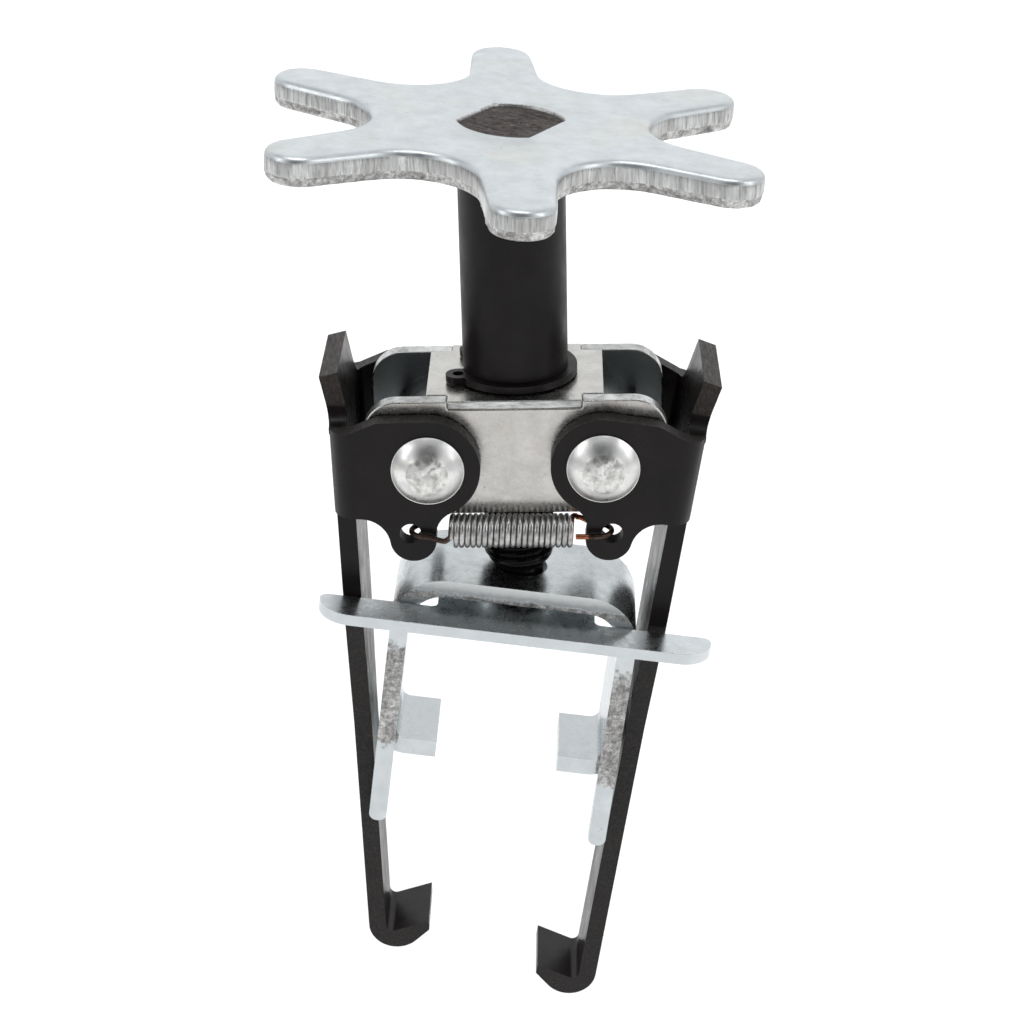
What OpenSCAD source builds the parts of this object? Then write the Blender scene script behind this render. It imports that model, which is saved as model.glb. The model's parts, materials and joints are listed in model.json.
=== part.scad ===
// Two-jaw screw puller of the valve-spring type.
// A star handle turns a threaded sleeve in a riveted yoke and drives a screw
// with a forked saddle between two hooked jaws.
// +Z is up along the screw, +X towards the right jaw, -Y is the front.
// The origin is on the sleeve's axis, level with the lower hook.

/* [Star handle] */
// Number of arms
star_arms = 6; // [5:1:7]
// Diameter over opposite arm tips
star_d = 87; // [80:0.5:95]
// Thickness of the punched plate
star_t = 5; // [4:0.25:6]
// Radius of each arm tip
arm_tip_r = 5.2; // [4.5:0.1:6]
// Widening of an arm towards its root, each side, in degrees
arm_taper = 3.8; // [2:0.1:6]
// Radius of the valleys between arms
valley_r = 10.7; // [9:0.1:12]
// Lean of the star on its sleeve, right side down, in degrees
star_lean = 5; // [0:0.5:6]
// Turn of the star at rest, front arm to the right, in degrees
star_turned = 3.5; // [-30:0.5:30]

/* [Sleeve] */
// Outside diameter of the drive sleeve
sleeve_d = 17.5; // [16:0.1:18]
// Width over the two flats that drive the star
flats_w = 13; // [12:0.1:14]
// Direction of the flats' normal at rest, in degrees from +X
flats_dir = -29; // [-90:1:90]
// Height of the middle of the star's underside above the bridge
sleeve_show = 38.4; // [30:0.1:45]

/* [Yoke] */
// Length of the front and back plates
yoke_len = 49.8; // [48:0.1:52]
// Height of the front and back plates
yoke_h = 20.2; // [19:0.1:22]
// Depth over both plates
yoke_depth = 24.4; // [23:0.1:26]
// Thickness of the front and back plates
yoke_t = 2.8; // [2.5:0.1:3]
// Distance between the two jaw pivots
pivot_gap = 28.7; // [27:0.1:30]
// Depth of the jaw pivots below the plates' top edge
pivot_drop = 10.6; // [9:0.1:11]

/* [Jaws] */
// Thickness of the jaw stock
jaw_t = 3.1; // [2.8:0.1:3.2]
// Length of the left jaw below its pivot
jaw_len_left = 101.2; // [98:0.1:108]
// Length of the right jaw below its pivot
jaw_len_right = 111.8; // [108:0.1:116]
// Inward lean of the left jaw at rest, in degrees
lean_left = 0.8; // [0.5:0.1:1]
// Inward lean of the right jaw at rest, in degrees
lean_right = 9.5; // [9:0.1:9.6]
// Radius of the cheek round each pivot
boss_r = 8.6; // [8:0.1:9]

/* [Screw and saddle] */
// Nominal diameter of the pressure screw
screw_d = 12; // [10:0.5:12]
// Depth of the saddle's top below the jaw pivots at rest
saddle_drop = 25.3; // [25:0.1:28]
// Outside width of the saddle
saddle_w = 42.4; // [40:0.1:42.6]
// Depth of the saddle's legs
saddle_depth = 19.6; // [19:0.1:20]
// Thickness of the saddle's plate
saddle_t = 3.1; // [2.8:0.1:3.3]
// Tilt of the saddle at rest, right side down, in degrees
saddle_tilt = 8; // [7.5:0.1:8.2]
// Turn of the saddle at rest, right side to the front, in degrees
saddle_turn = 0.6; // [0:0.1:1]
// Length of the slide bar
bar_len = 67; // [60:0.5:70]

/* [Hidden] */
$fn = 64;
ZINC = "gainsboro";
BLACK = "#262628";
STEEL = "silver";
eps = 0.01;
run_gap = 0.05;      // radial clearance of a running fit
fixed_gap = 0.03;    // clearance round a part that is fixed in place
face_gap = 0.2;      // clearance between flat faces that slide
face_play = 0.1;     // end play of the sleeve's flange under the bridge

// Jaw section, in the jaw's own frame: pivot at the origin, x outwards, z up
web_out = 16;                        // web's outer face
web_in = web_out - jaw_t;            // web's inner face
cheek_out = 15.7;                    // cheek's outer face, from the middle plane
cheek_in = cheek_out - jaw_t;        // cheek's inner face
bend_r = 4;                          // outside radius of the bend
cheek_bottom = -8.5;                 // where the cheeks end on the web
shoulder_z = 6.6;                    // cheek's top edge at the web
lug = [2.95, -12.65];                // centre of the spring lug's round end
lug_r = 3.85;
lug_hole = [3.35, -11.45];           // centre of the spring hole
lug_hole_r = 1.78;
outer_notch_r = 5;                   // hollow between lug and web
outer_notch_dir = -6;                // its centre's direction from the lug's, in degrees
outer_notch = lug + (lug_r + outer_notch_r) * [cos(outer_notch_dir), sin(outer_notch_dir)];
inner_notch_r = 4.3;                 // hollow between lug and boss
ear_w = 18.4;                        // width of the finger ear
ear_top = 15;                        // ear's height above the pivot
ear_flare = 9.5;                     // ear's outward lean, in degrees
strap_top_w = 18.6;                  // strap's width under the cheeks
strap_mid_w = 13.3;                  // strap's width below its taper
strap_end_w = 12.4;                  // strap's width at the hook
taper_from = -31;
taper_to = -53;
hook_r = 5;                          // outside radius of the hook's bend
hook_reach = 11;                     // from the strap's outer face to the hook's tip
hook_seat = 3.2;                     // hook's thickness at the strap
hook_rise = 16.5;                    // slope of the hook's top face, in degrees
hook_taper = 42;                     // slope of the hook's underside, in degrees
hook_fillet_r = 1.2;                 // inside corner between strap and hook

// Heights
pivot_x = pivot_gap / 2;
pivot_z = (web_out - hook_r) * sin(lean_right)
        + (jaw_len_right - hook_r) * cos(lean_right) + hook_r;
yoke_top = pivot_z + pivot_drop;
yoke_bottom = yoke_top - yoke_h;
bridge_t = 3;
bridge_top = yoke_top + 0.1;
bridge_bottom = bridge_top - bridge_t;
star_bottom = bridge_top + sleeve_show;
star_top = star_bottom + star_t;
saddle_top = pivot_z - saddle_drop;

// Star outline
arm_r = star_d / 2 - arm_tip_r;
valley_pos = (arm_tip_r + valley_r + arm_r * sin(arm_taper)) / sin(180 / star_arms + arm_taper);
spigot_drop = 1;                     // sleeve's end below the star's top face

// Yoke
plate_out = yoke_depth / 2;
plate_in = plate_out - yoke_t;
plate_corner_r = 5.5;
bridge_w = 29.2;
tab_w = 22;
tab_t = 1.5;
rivet_r = 4;
rivet_head_r = 6;
rivet_head_h = 2.8;
spacer_r = 6.3;

// Sleeve
bore_r = screw_d / 2 + run_gap;
flange_r = 9.1;
flange_h = 2.5;
neck_r = 7.5;
sleeve_bottom = yoke_bottom + 2.6;
bore_top = star_top - 17;
screw_top = star_top - 24;
groove_r = 8;
clip_t = 1.2;
groove_h = clip_t + 2 * run_gap;
clip_r = 10.3;
clip_z = bridge_top + 0.3;

// Saddle, in its own frame: origin in the middle of its top plate, x to the right, z up
leg_out = saddle_w / 2;
leg_in = leg_out - saddle_t;
leg_y = saddle_depth / 2;
saddle_r = 9;                        // outside radius of its two bends
plate_top = saddle_t / 2;
tab_z = plate_top - 33.2;            // top of the tabs
tab_end = 10.8;                      // tab's end, from the middle
tab_bend_r = 5;                      // outside radius of a tab's bend
finger_w = 2.3;
finger_end = plate_top - 49.4;       // end of the front fingers
back_finger_end = plate_top - 44.8;
slot_y = leg_y - finger_w;
swivel_hole_r = 4.6;
swivel_r = 4;
washer_r = 5.2;
washer_t = 1.2;
washer_drop = 2.3;                   // washer's underside below the saddle's plate
tail_drop = 3.4;                     // screw's end below the saddle's plate

// Slide bar, in the saddle's frame
bar_t = 2;
bar_top = plate_top - 4.8;
bar_back = -leg_y - 0.4;             // back edge of its front strip
bar_depth = 6.7;
tongue_w = 27;
wing_w = 39;
wing_depth = 4;

// Spring, between the two front lugs
spring_r = 2.9;
spring_forward = 0.35;               // spring's axis in front of the lugs' middle
spring_wire = 0.95;
coil_wall = 1.25;                    // wall of the tube that stands in for the coil
spring_len = 20;

// A jaw point in the row's frame: side is -1 for left and 1 for right
function jaw_point(p, side, lean) =
    [side * (pivot_x + p[0] * cos(lean) + p[1] * sin(lean)),
     pivot_z - p[0] * sin(lean) + p[1] * cos(lean)];
left_eye = jaw_point(lug_hole, -1, lean_left);
right_eye = jaw_point(lug_hole, 1, lean_right);
spring_y = -(cheek_out + cheek_in) / 2 - spring_forward;
eye_z = (left_eye[1] + right_eye[1]) / 2;
spring_mid = (left_eye[0] + right_eye[0]) / 2;
spring_slope = atan((right_eye[1] - left_eye[1]) / (right_eye[0] - left_eye[0]));
eye_gap = norm(right_eye - left_eye);

// Profile in x and z, pushed through along y from -half to half
module through_y(half) {
    rotate([90, 0, 0])
        linear_extrude(2 * half, center = true)
            children();
}

// Profile in y and z, pushed along x from from_x to to_x
module along_x(from_x, to_x) {
    translate([from_x, 0, 0])
        rotate([90, 0, 90])
            linear_extrude(to_x - from_x)
                children();
}

module rounded_rect(w, h, r) {
    square([w - 2 * r, h], center = true);
    square([w, h - 2 * r], center = true);
    for (x = [-1, 1])
        for (y = [-1, 1])
            translate([x * (w / 2 - r), y * (h / 2 - r)])
                circle(r);
}

// ---- star handle and sleeve ----

module double_d(r, w) {
    rotate(flats_dir)
        intersection() {
            circle(r);
            square([w, 3 * r], center = true);
        }
}

// Points on an arc round c, from angle a0 to a1
function arc(c, r, a0, a1, steps) =
    [for (i = [0 : steps]) let (a = a0 + (a1 - a0) * i / steps) c + r * [cos(a), sin(a)]];

function turned(p, a) = [p[0] * cos(a) - p[1] * sin(a), p[0] * sin(a) + p[1] * cos(a)];

// One arm's tip and the valley after it, for an arm along x
function arm_points() =
    let (pitch = 360 / star_arms,
         valley = valley_pos * [cos(pitch / 2), sin(pitch / 2)])
    concat(arc([arm_r, 0], arm_tip_r, arm_taper - 90, 90 - arm_taper, 20),
           arc(valley, valley_r, 270 - arm_taper, pitch + 90 + arm_taper, 16));

// One arm points to the front, turned by star_turned at rest
module star_outline() {
    first = star_turned - 90;
    polygon([for (i = [0 : star_arms - 1])
                 for (p = arm_points())
                     turned(p, first + i * 360 / star_arms)]);
}

// Places its children in the star's frame: origin in the middle of its underside, z square to it
module on_star() {
    translate([0, 0, star_bottom + star_t / 2])
        rotate([0, star_lean, 0])
            translate([0, 0, -star_t / 2])
                children();
}

module star_handle() {
    color(ZINC)
        on_star()
            linear_extrude(star_t)
                difference() {
                    star_outline();
                    double_d(sleeve_d / 2, flats_w);
                }
}

module drive_sleeve() {
    color(BLACK)
        difference() {
            union() {
                on_star()
                    translate([0, 0, -eps])
                        linear_extrude(star_t - spigot_drop + eps)
                            double_d(sleeve_d / 2 - fixed_gap, flats_w - 2 * fixed_gap);
                difference() {
                    translate([0, 0, bridge_bottom - face_play - eps])
                        cylinder(r = sleeve_d / 2, h = star_top - bridge_bottom);
                    on_star()
                        translate([-sleeve_d, -sleeve_d, 0])
                            cube(2 * sleeve_d);
                }
                translate([0, 0, bridge_bottom - face_play - flange_h])
                    cylinder(r = flange_r, h = flange_h);
                translate([0, 0, sleeve_bottom])
                    cylinder(r = neck_r, h = bridge_bottom - face_play - flange_h - sleeve_bottom + eps);
            }
            translate([0, 0, sleeve_bottom - eps])
                cylinder(r = bore_r, h = bore_top - sleeve_bottom);
            translate([0, 0, clip_z - run_gap])
                difference() {
                    cylinder(r = sleeve_d, h = groove_h);
                    translate([0, 0, -eps])
                        cylinder(r = groove_r, h = groove_h + 2 * eps);
                }
        }
}

module sleeve_circlip() {
    lug_pos = 10.2;
    lug_end_r = 2.1;
    plier_hole_r = 0.9;
    lug_dirs = [137, 203];
    gap_mid = (lug_dirs[0] + lug_dirs[1]) / 2;
    gap_half = (lug_dirs[1] - lug_dirs[0]) / 2;
    wedge = 20;
    color(BLACK)
        translate([0, 0, clip_z])
            linear_extrude(clip_t)
                difference() {
                    union() {
                        difference() {
                            circle(clip_r);
                            polygon([[0, 0],
                                     wedge * [cos(gap_mid - gap_half), sin(gap_mid - gap_half)],
                                     wedge * [cos(gap_mid + gap_half), sin(gap_mid + gap_half)]]);
                        }
                        for (dir = lug_dirs)
                            rotate(dir)
                                translate([lug_pos, 0])
                                    circle(lug_end_r);
                    }
                    circle(groove_r + fixed_gap);
                    for (dir = lug_dirs)
                        rotate(dir)
                            translate([lug_pos, 0])
                                circle(plier_hole_r);
                }
}

// ---- yoke ----

module bridge_plate() {
    color(ZINC)
        difference() {
            union() {
                translate([-bridge_w / 2, -plate_in, bridge_bottom])
                    cube([bridge_w, 2 * plate_in, bridge_t]);
                translate([-tab_w / 2, -plate_out, bridge_top - tab_t])
                    cube([tab_w, 2 * plate_out, tab_t]);
            }
            translate([0, 0, bridge_bottom - 1])
                cylinder(r = sleeve_d / 2 + run_gap, h = bridge_t + 2);
        }
}

module yoke_plate() {
    through_y(yoke_t / 2)
        difference() {
            translate([0, (yoke_top + yoke_bottom) / 2])
                rounded_rect(yoke_len, yoke_h, plate_corner_r);
            translate([-tab_w / 2, bridge_top - tab_t])
                square([tab_w, 5]);
            for (x = [-pivot_x, pivot_x])
                translate([x, pivot_z])
                    circle(rivet_r + run_gap);
        }
}

module yoke_front_plate() {
    color(ZINC)
        translate([0, -plate_out + yoke_t / 2, 0])
            yoke_plate();
}

module yoke_back_plate() {
    color(ZINC)
        translate([0, plate_out - yoke_t / 2, 0])
            yoke_plate();
}

module spacer(side) {
    color(STEEL)
        translate([side * pivot_x, 0, pivot_z])
            through_y(plate_in)
                difference() {
                    circle(spacer_r);
                    circle(rivet_r + run_gap);
                }
}

module spacer_left() { spacer(-1); }

module spacer_right() { spacer(1); }

// A rivet with a domed head on each end
module rivet(side) {
    head_y = cheek_out + face_gap;
    dome_r = (rivet_head_r * rivet_head_r + rivet_head_h * rivet_head_h) / (2 * rivet_head_h);
    color(STEEL)
        translate([side * pivot_x, 0, pivot_z])
            rotate([90, 0, 0]) {
                cylinder(r = rivet_r, h = 2 * head_y + 2 * eps, center = true);
                for (end = [0, 1])
                    mirror([0, 0, end])
                        translate([0, 0, head_y])
                            intersection() {
                                translate([0, 0, rivet_head_h - dome_r])
                                    sphere(dome_r);
                                cylinder(r = rivet_head_r + 1, h = rivet_head_h + 1);
                            }
            }
}

module rivet_left() { rivet(-1); }

module rivet_right() { rivet(1); }

// ---- jaws, in the jaw's own frame ----

// Centre of the hollow that blends the lug into the boss
function inner_notch() =
    let (d = norm(lug),
         a = boss_r + inner_notch_r,
         b = lug_r + inner_notch_r,
         t = (a * a - b * b + d * d) / (2 * d),
         s = sqrt(a * a - t * t),
         u = lug / d)
    t * u + s * [u[1], -u[0]];

module cheek_profile() {
    difference() {
        union() {
            circle(boss_r);
            polygon([[0, boss_r], [8, boss_r], [web_in, shoulder_z], [web_out, shoulder_z],
                     [web_out, cheek_bottom], outer_notch + [0, outer_notch_r],
                     outer_notch, lug, inner_notch(), [0, 0]]);
            translate(lug)
                circle(lug_r);
        }
        translate(outer_notch)
            circle(outer_notch_r);
        translate(inner_notch())
            circle(inner_notch_r);
        circle(rivet_r + run_gap);
        translate(lug_hole)
            circle(lug_hole_r);
    }
}

// The folded section seen from above
module channel_section() {
    bend_x = web_out - bend_r;
    bend_y = cheek_out - bend_r;
    translate([web_in, -bend_y])
        square([jaw_t, 2 * bend_y]);
    for (m = [0, 1])
        mirror([0, m]) {
            translate([-boss_r - 2, cheek_in])
                square([bend_x + boss_r + 2, jaw_t]);
            translate([bend_x, bend_y])
                intersection() {
                    difference() {
                        circle(bend_r);
                        circle(bend_r - jaw_t);
                    }
                    square(bend_r);
                }
        }
}

module jaw_channel() {
    intersection() {
        translate([0, 0, -25])
            linear_extrude(50)
                channel_section();
        through_y(cheek_out + 1)
            cheek_profile();
    }
}

// Finger ear above the web, leaning outwards, with round hollows at its foot
module jaw_ear() {
    hollow_r = 3.5;
    lean_x = (ear_top - shoulder_z) * tan(ear_flare);
    intersection() {
        through_y(ear_w)
            polygon([[web_in, shoulder_z - 1], [web_in, shoulder_z],
                     [web_in + lean_x, ear_top], [web_out + lean_x, ear_top - 0.7],
                     [web_out, shoulder_z], [web_out, shoulder_z - 1]]);
        along_x(0, 30)
            difference() {
                translate([-ear_w / 2 - hollow_r, shoulder_z - 1])
                    square([ear_w + 2 * hollow_r, ear_top - shoulder_z + 1]);
                for (y = [-1, 1]) {
                    translate([y * (ear_w / 2 + hollow_r), shoulder_z + hollow_r])
                        circle(hollow_r);
                    translate([y * (ear_w / 2 + hollow_r) - hollow_r, shoulder_z + hollow_r])
                        square([2 * hollow_r, 20]);
                }
            }
    }
}

// Strap and hook seen from the front
module strap_profile(len) {
    hook_c = [web_out - hook_r, -len + hook_r];
    under = hook_c - hook_r * [sin(hook_taper), cos(hook_taper)];
    tip_x = web_out - hook_reach;
    tip_low = under[1] + (under[0] - tip_x) * tan(hook_taper);
    seat_z = -len + hook_seat;
    tip_high = seat_z + (web_in - tip_x) * tan(hook_rise);
    fillet_c = [web_in - hook_fillet_r,
                seat_z + hook_fillet_r * (1 + sin(hook_rise)) / cos(hook_rise)];
    translate([web_in, hook_c[1]])
        square([jaw_t, cheek_bottom + 1 - hook_c[1]]);
    difference() {
        union() {
            translate(hook_c)
                circle(hook_r);
            polygon([[web_out, hook_c[1]], hook_c - [0, hook_r], under, [tip_x, tip_low],
                     [tip_x, tip_high], [web_in, seat_z], [web_in, hook_c[1]]]);
        }
        polygon([[tip_x - 1, tip_high + tan(hook_rise)], [web_in, seat_z],
                 [web_in, seat_z + 20], [tip_x - 1, seat_z + 20]]);
    }
    difference() {
        polygon([[web_in, seat_z], [web_in, fillet_c[1]], fillet_c,
                 fillet_c - hook_fillet_r * [sin(hook_rise), cos(hook_rise)]]);
        translate(fillet_c)
            circle(hook_fillet_r);
    }
}

// Strap seen from the side
module strap_outline(len) {
    polygon([[strap_top_w / 2, cheek_bottom + 1], [strap_top_w / 2, taper_from],
             [strap_mid_w / 2, taper_to], [strap_end_w / 2, -len - 1],
             [-strap_end_w / 2, -len - 1], [-strap_mid_w / 2, taper_to],
             [-strap_top_w / 2, taper_from], [-strap_top_w / 2, cheek_bottom + 1]]);
}

module jaw(len) {
    color(BLACK) {
        jaw_channel();
        jaw_ear();
        intersection() {
            through_y(strap_top_w)
                strap_profile(len);
            along_x(-10, 30)
                strap_outline(len);
        }
    }
}

module jaw_left() {
    translate([-pivot_x, 0, pivot_z])
        rotate([0, -lean_left, 0])
            mirror([1, 0, 0])
                jaw(jaw_len_left);
}

module jaw_right() {
    translate([pivot_x, 0, pivot_z])
        rotate([0, lean_right, 0])
            jaw(jaw_len_right);
}

// ---- spring: its coil's outer shape, and a hook through each lug ----

module spring_hook(reach) {
    loop_r = 2.4;
    eye_in = 2.5;                    // loop's centre, inwards from the lug hole
    wire_r = spring_wire / 2;
    translate([reach - eye_in, 0, 0]) {
        rotate_extrude(angle = 180, start = -90)
            translate([loop_r, 0])
                circle(wire_r);
        for (y = [-loop_r, loop_r])
            translate([-(reach - eye_in - spring_len / 2) - 0.5, y, 0])
                rotate([0, 90, 0])
                    cylinder(r = wire_r, h = reach - eye_in - spring_len / 2 + 0.5);
    }
}

module jaw_spring() {
    color(STEEL)
        translate([spring_mid, spring_y, eye_z])
            rotate([0, -spring_slope, 0]) {
                rotate([0, 90, 0])
                    difference() {
                        cylinder(r = spring_r, h = spring_len, center = true);
                        cylinder(r = spring_r - coil_wall, h = spring_len + 1, center = true);
                    }
                for (m = [0, 1])
                    mirror([m, 0, 0])
                        spring_hook(eye_gap / 2);
            }
}

// ---- screw, saddle and slide bar ----

module pressure_screw() {
    seat_r = 4.5;
    seat_z = saddle_top + 0.75;      // narrow end of the screw's cone
    thread_z = saddle_top + 1.9;     // where the thread starts
    tail_z = saddle_top - saddle_t - tail_drop;
    color(BLACK) {
        translate([0, 0, thread_z])
            cylinder(r = screw_d / 2, h = screw_top - thread_z);
        translate([0, 0, seat_z])
            cylinder(r1 = seat_r, r2 = screw_d / 2, h = thread_z - seat_z);
        translate([0, 0, tail_z])
            cylinder(r = swivel_r, h = seat_z - tail_z + eps);
    }
}

module screw_washer() {
    color(STEEL)
        translate([0, 0, saddle_top - saddle_t - washer_drop])
            difference() {
                cylinder(r = washer_r, h = washer_t);
                translate([0, 0, -eps])
                    cylinder(r = swivel_r + fixed_gap, h = washer_t + 2 * eps);
            }
}

// Places its children in the saddle's frame
module on_saddle() {
    translate([0, 0, saddle_top - saddle_t / 2])
        rotate([0, saddle_tilt, -saddle_turn])
            children();
}

// Arch of the saddle seen from the front, with straight legs down to low_z
module arch_profile(low_z) {
    for (m = [0, 1])
        mirror([m, 0]) {
            translate([0, -plate_top])
                square([leg_out - saddle_r, saddle_t]);
            translate([leg_in, low_z])
                square([saddle_t, plate_top - saddle_r - low_z]);
            translate([leg_out - saddle_r, plate_top - saddle_r])
                intersection() {
                    difference() {
                        circle(saddle_r);
                        circle(saddle_r - saddle_t);
                    }
                    square(saddle_r);
                }
        }
}

// Bent tab seen from the front, on the right-hand leg
module tab_profile() {
    bend_x = leg_out - tab_bend_r;
    bend_z = tab_z - saddle_t + tab_bend_r;
    translate([bend_x, bend_z])
        intersection() {
            difference() {
                circle(tab_bend_r);
                circle(tab_bend_r - saddle_t);
            }
            translate([0, -tab_bend_r])
                square(tab_bend_r);
        }
    translate([tab_end, tab_z - saddle_t])
        square([bend_x - tab_end, saddle_t]);
}

// Finger below the tab on the right-hand leg, at its front or back edge, down to end_z
module finger(y_sign, end_z) {
    tip_r = 1.4;
    translate([0, y_sign * (leg_y - finger_w / 2), 0])
        through_y(finger_w / 2) {
            translate([leg_in, end_z + tip_r])
                square([saddle_t, tab_z + tab_bend_r - saddle_t - end_z - tip_r]);
            translate([leg_in + tip_r, end_z])
                square([saddle_t - 2 * tip_r, 2 * tip_r]);
            for (x = [leg_in + tip_r, leg_out - tip_r])
                translate([x, end_z + tip_r])
                    circle(tip_r);
        }
}

module saddle() {
    color(ZINC)
        on_saddle() {
            difference() {
                through_y(leg_y)
                    arch_profile(tab_z - saddle_t + tab_bend_r);
                cylinder(r = swivel_hole_r, h = 2 * saddle_t, center = true);
            }
            for (m = [0, 1])
                mirror([m, 0, 0]) {
                    through_y(slot_y)
                        tab_profile();
                    finger(-1, finger_end);
                    finger(1, back_finger_end);
                }
        }
}

// What a round corner of radius r takes from a square one
module spandrel(r) {
    difference() {
        square(r);
        translate([r, r])
            circle(r);
    }
}

// Front strip of the slide bar, with its right-hand corners rounded
module strip_corners(front_r, back_r) {
    translate([bar_len / 2, bar_back - bar_depth])
        rotate(90)
            spandrel(front_r);
    translate([bar_len / 2, bar_back])
        rotate(180)
            spandrel(back_r);
}

module slide_bar() {
    notch_r = 1.2;                   // inside corners of the notches
    tongue_hole_r = 6.2;             // clears the washer
    tongue_hole_y = 0.6;
    front_r = 5.5;                   // front corners of the strip
    back_r = 1.5;                    // back corners of the strip and wings
    wing_y = leg_y + 0.5;            // front edge of the wings behind the legs
    color(ZINC)
        on_saddle()
            translate([0, 0, bar_top - bar_t])
                linear_extrude(bar_t)
                    difference() {
                        union() {
                            translate([-bar_len / 2, bar_back - bar_depth])
                                square([bar_len, bar_depth]);
                            translate([-tongue_w / 2, bar_back - 1])
                                square([tongue_w, wing_y + wing_depth - bar_back + 1]);
                            translate([0, wing_y + wing_depth / 2])
                                rounded_rect(wing_w, wing_depth, back_r);
                            for (m = [0, 1])
                                mirror([m, 0]) {
                                    translate([tongue_w / 2, bar_back])
                                        spandrel(notch_r);
                                    translate([tongue_w / 2, wing_y])
                                        mirror([0, 1])
                                            spandrel(notch_r);
                                }
                        }
                        for (m = [0, 1])
                            mirror([m, 0])
                                strip_corners(front_r, back_r);
                        translate([0, tongue_hole_y])
                            circle(tongue_hole_r);
                    }
}

star_handle();
drive_sleeve();
sleeve_circlip();
bridge_plate();
yoke_front_plate();
yoke_back_plate();
spacer_left();
spacer_right();
rivet_left();
rivet_right();
jaw_left();
jaw_right();
jaw_spring();
pressure_screw();
screw_washer();
saddle();
slide_bar();
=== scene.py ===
"""Looks of a two-jaw screw puller of the valve-spring type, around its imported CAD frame."""
import json
import math

import bmesh
import bpy
from mathutils import Matrix, Vector, noise
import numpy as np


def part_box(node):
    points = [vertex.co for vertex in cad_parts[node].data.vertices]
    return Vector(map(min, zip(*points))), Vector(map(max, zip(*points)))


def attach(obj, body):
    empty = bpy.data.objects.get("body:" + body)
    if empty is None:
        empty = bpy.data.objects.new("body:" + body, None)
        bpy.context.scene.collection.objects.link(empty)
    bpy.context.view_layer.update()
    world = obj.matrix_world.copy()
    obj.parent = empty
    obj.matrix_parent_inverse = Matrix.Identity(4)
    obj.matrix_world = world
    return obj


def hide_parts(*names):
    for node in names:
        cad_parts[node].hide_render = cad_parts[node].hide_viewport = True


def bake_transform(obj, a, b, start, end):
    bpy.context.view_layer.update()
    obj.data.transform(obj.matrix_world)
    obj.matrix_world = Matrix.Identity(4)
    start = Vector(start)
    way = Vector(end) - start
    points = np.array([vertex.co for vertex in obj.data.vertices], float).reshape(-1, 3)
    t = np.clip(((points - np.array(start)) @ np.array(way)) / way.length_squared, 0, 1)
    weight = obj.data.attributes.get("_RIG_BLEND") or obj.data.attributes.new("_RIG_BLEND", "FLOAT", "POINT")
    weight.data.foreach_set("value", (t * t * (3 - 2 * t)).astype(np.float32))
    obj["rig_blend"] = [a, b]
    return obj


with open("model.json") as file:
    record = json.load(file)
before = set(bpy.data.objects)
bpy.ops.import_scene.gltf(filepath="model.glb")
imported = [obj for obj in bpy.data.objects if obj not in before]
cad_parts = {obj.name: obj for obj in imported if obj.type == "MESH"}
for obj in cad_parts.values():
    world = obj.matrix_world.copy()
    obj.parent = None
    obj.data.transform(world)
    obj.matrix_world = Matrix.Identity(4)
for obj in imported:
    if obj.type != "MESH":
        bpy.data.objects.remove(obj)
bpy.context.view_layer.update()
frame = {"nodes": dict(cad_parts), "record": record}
MM = 0.001
JOINTS = {joint["name"]: joint for joint in frame["record"]["behaviour"]["joints"]}
SIDES = ("left", "right")
OUTWARDS = {"left": -1, "right": 1}
PIVOT = {side: Vector(JOINTS["jaw_%s_follow" % side]["pos_m"]) for side in SIDES}
SWIVEL = Vector(JOINTS["saddle_rock"]["pos_m"])
LEG_DOWN = Vector(JOINTS["bar_slide"]["axis"]).normalized()
LEG_ACROSS = Vector((LEG_DOWN.z, 0, -LEG_DOWN.x))
TAB_ROOT = 17.7                         # where the saddle's tabs leave its legs, in mm from the middle


# ---- camera, floor and light ----

LENS = 87.57
CAMERA_AT = Vector((9.5, -383.6, 284.2)) * MM
CAMERA_YAW, CAMERA_PITCH, CAMERA_ROLL = (math.radians(a) for a in (1.59, 26.03, -1.35))
LIGHTS_AIM = Vector((0, 0, 0.09))


def make_camera():
    """A long lens from the front and above, as the photograph was taken."""
    data = bpy.data.cameras.new("camera")
    data.sensor_width = 36
    data.lens = LENS
    data.clip_start = 0.01
    camera = bpy.data.objects.new("camera", data)
    bpy.context.collection.objects.link(camera)
    camera.matrix_world = (Matrix.Translation(CAMERA_AT)
                           @ Matrix.Rotation(CAMERA_YAW, 4, "Z")
                           @ Matrix.Rotation(math.pi / 2 - CAMERA_PITCH, 4, "X")
                           @ Matrix.Rotation(CAMERA_ROLL, 4, "Z"))
    bpy.context.scene.camera = camera


def make_floor():
    """A plain pale floor a little below the hooks: the tool hangs, it can't stand."""
    size, drop = 3.0, 0.05
    mesh = bpy.data.meshes.new("floor")
    corners = [(-size, -size, -drop), (size, -size, -drop), (size, size, -drop), (-size, size, -drop)]
    mesh.from_pydata(corners, [], [(0, 1, 2, 3)])
    floor = bpy.data.objects.new("floor", mesh)
    bpy.context.collection.objects.link(floor)
    material = bpy.data.materials.new("floor")
    material.use_nodes = True
    shader = material.node_tree.nodes["Principled BSDF"]
    shader.inputs["Base Color"].default_value = (0.94, 0.94, 0.94, 1)
    shader.inputs["Roughness"].default_value = 0.9
    mesh.materials.append(material)


def make_light(name, at, size, power):
    """A soft box aimed at the middle of the tool."""
    data = bpy.data.lights.new(name, "AREA")
    data.shape = "RECTANGLE"
    data.size, data.size_y = size
    data.energy = power
    light = bpy.data.objects.new(name, data)
    bpy.context.collection.objects.link(light)
    light.location = at
    light.rotation_euler = (LIGHTS_AIM - Vector(at)).to_track_quat("-Z", "Y").to_euler()
    return light


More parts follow.
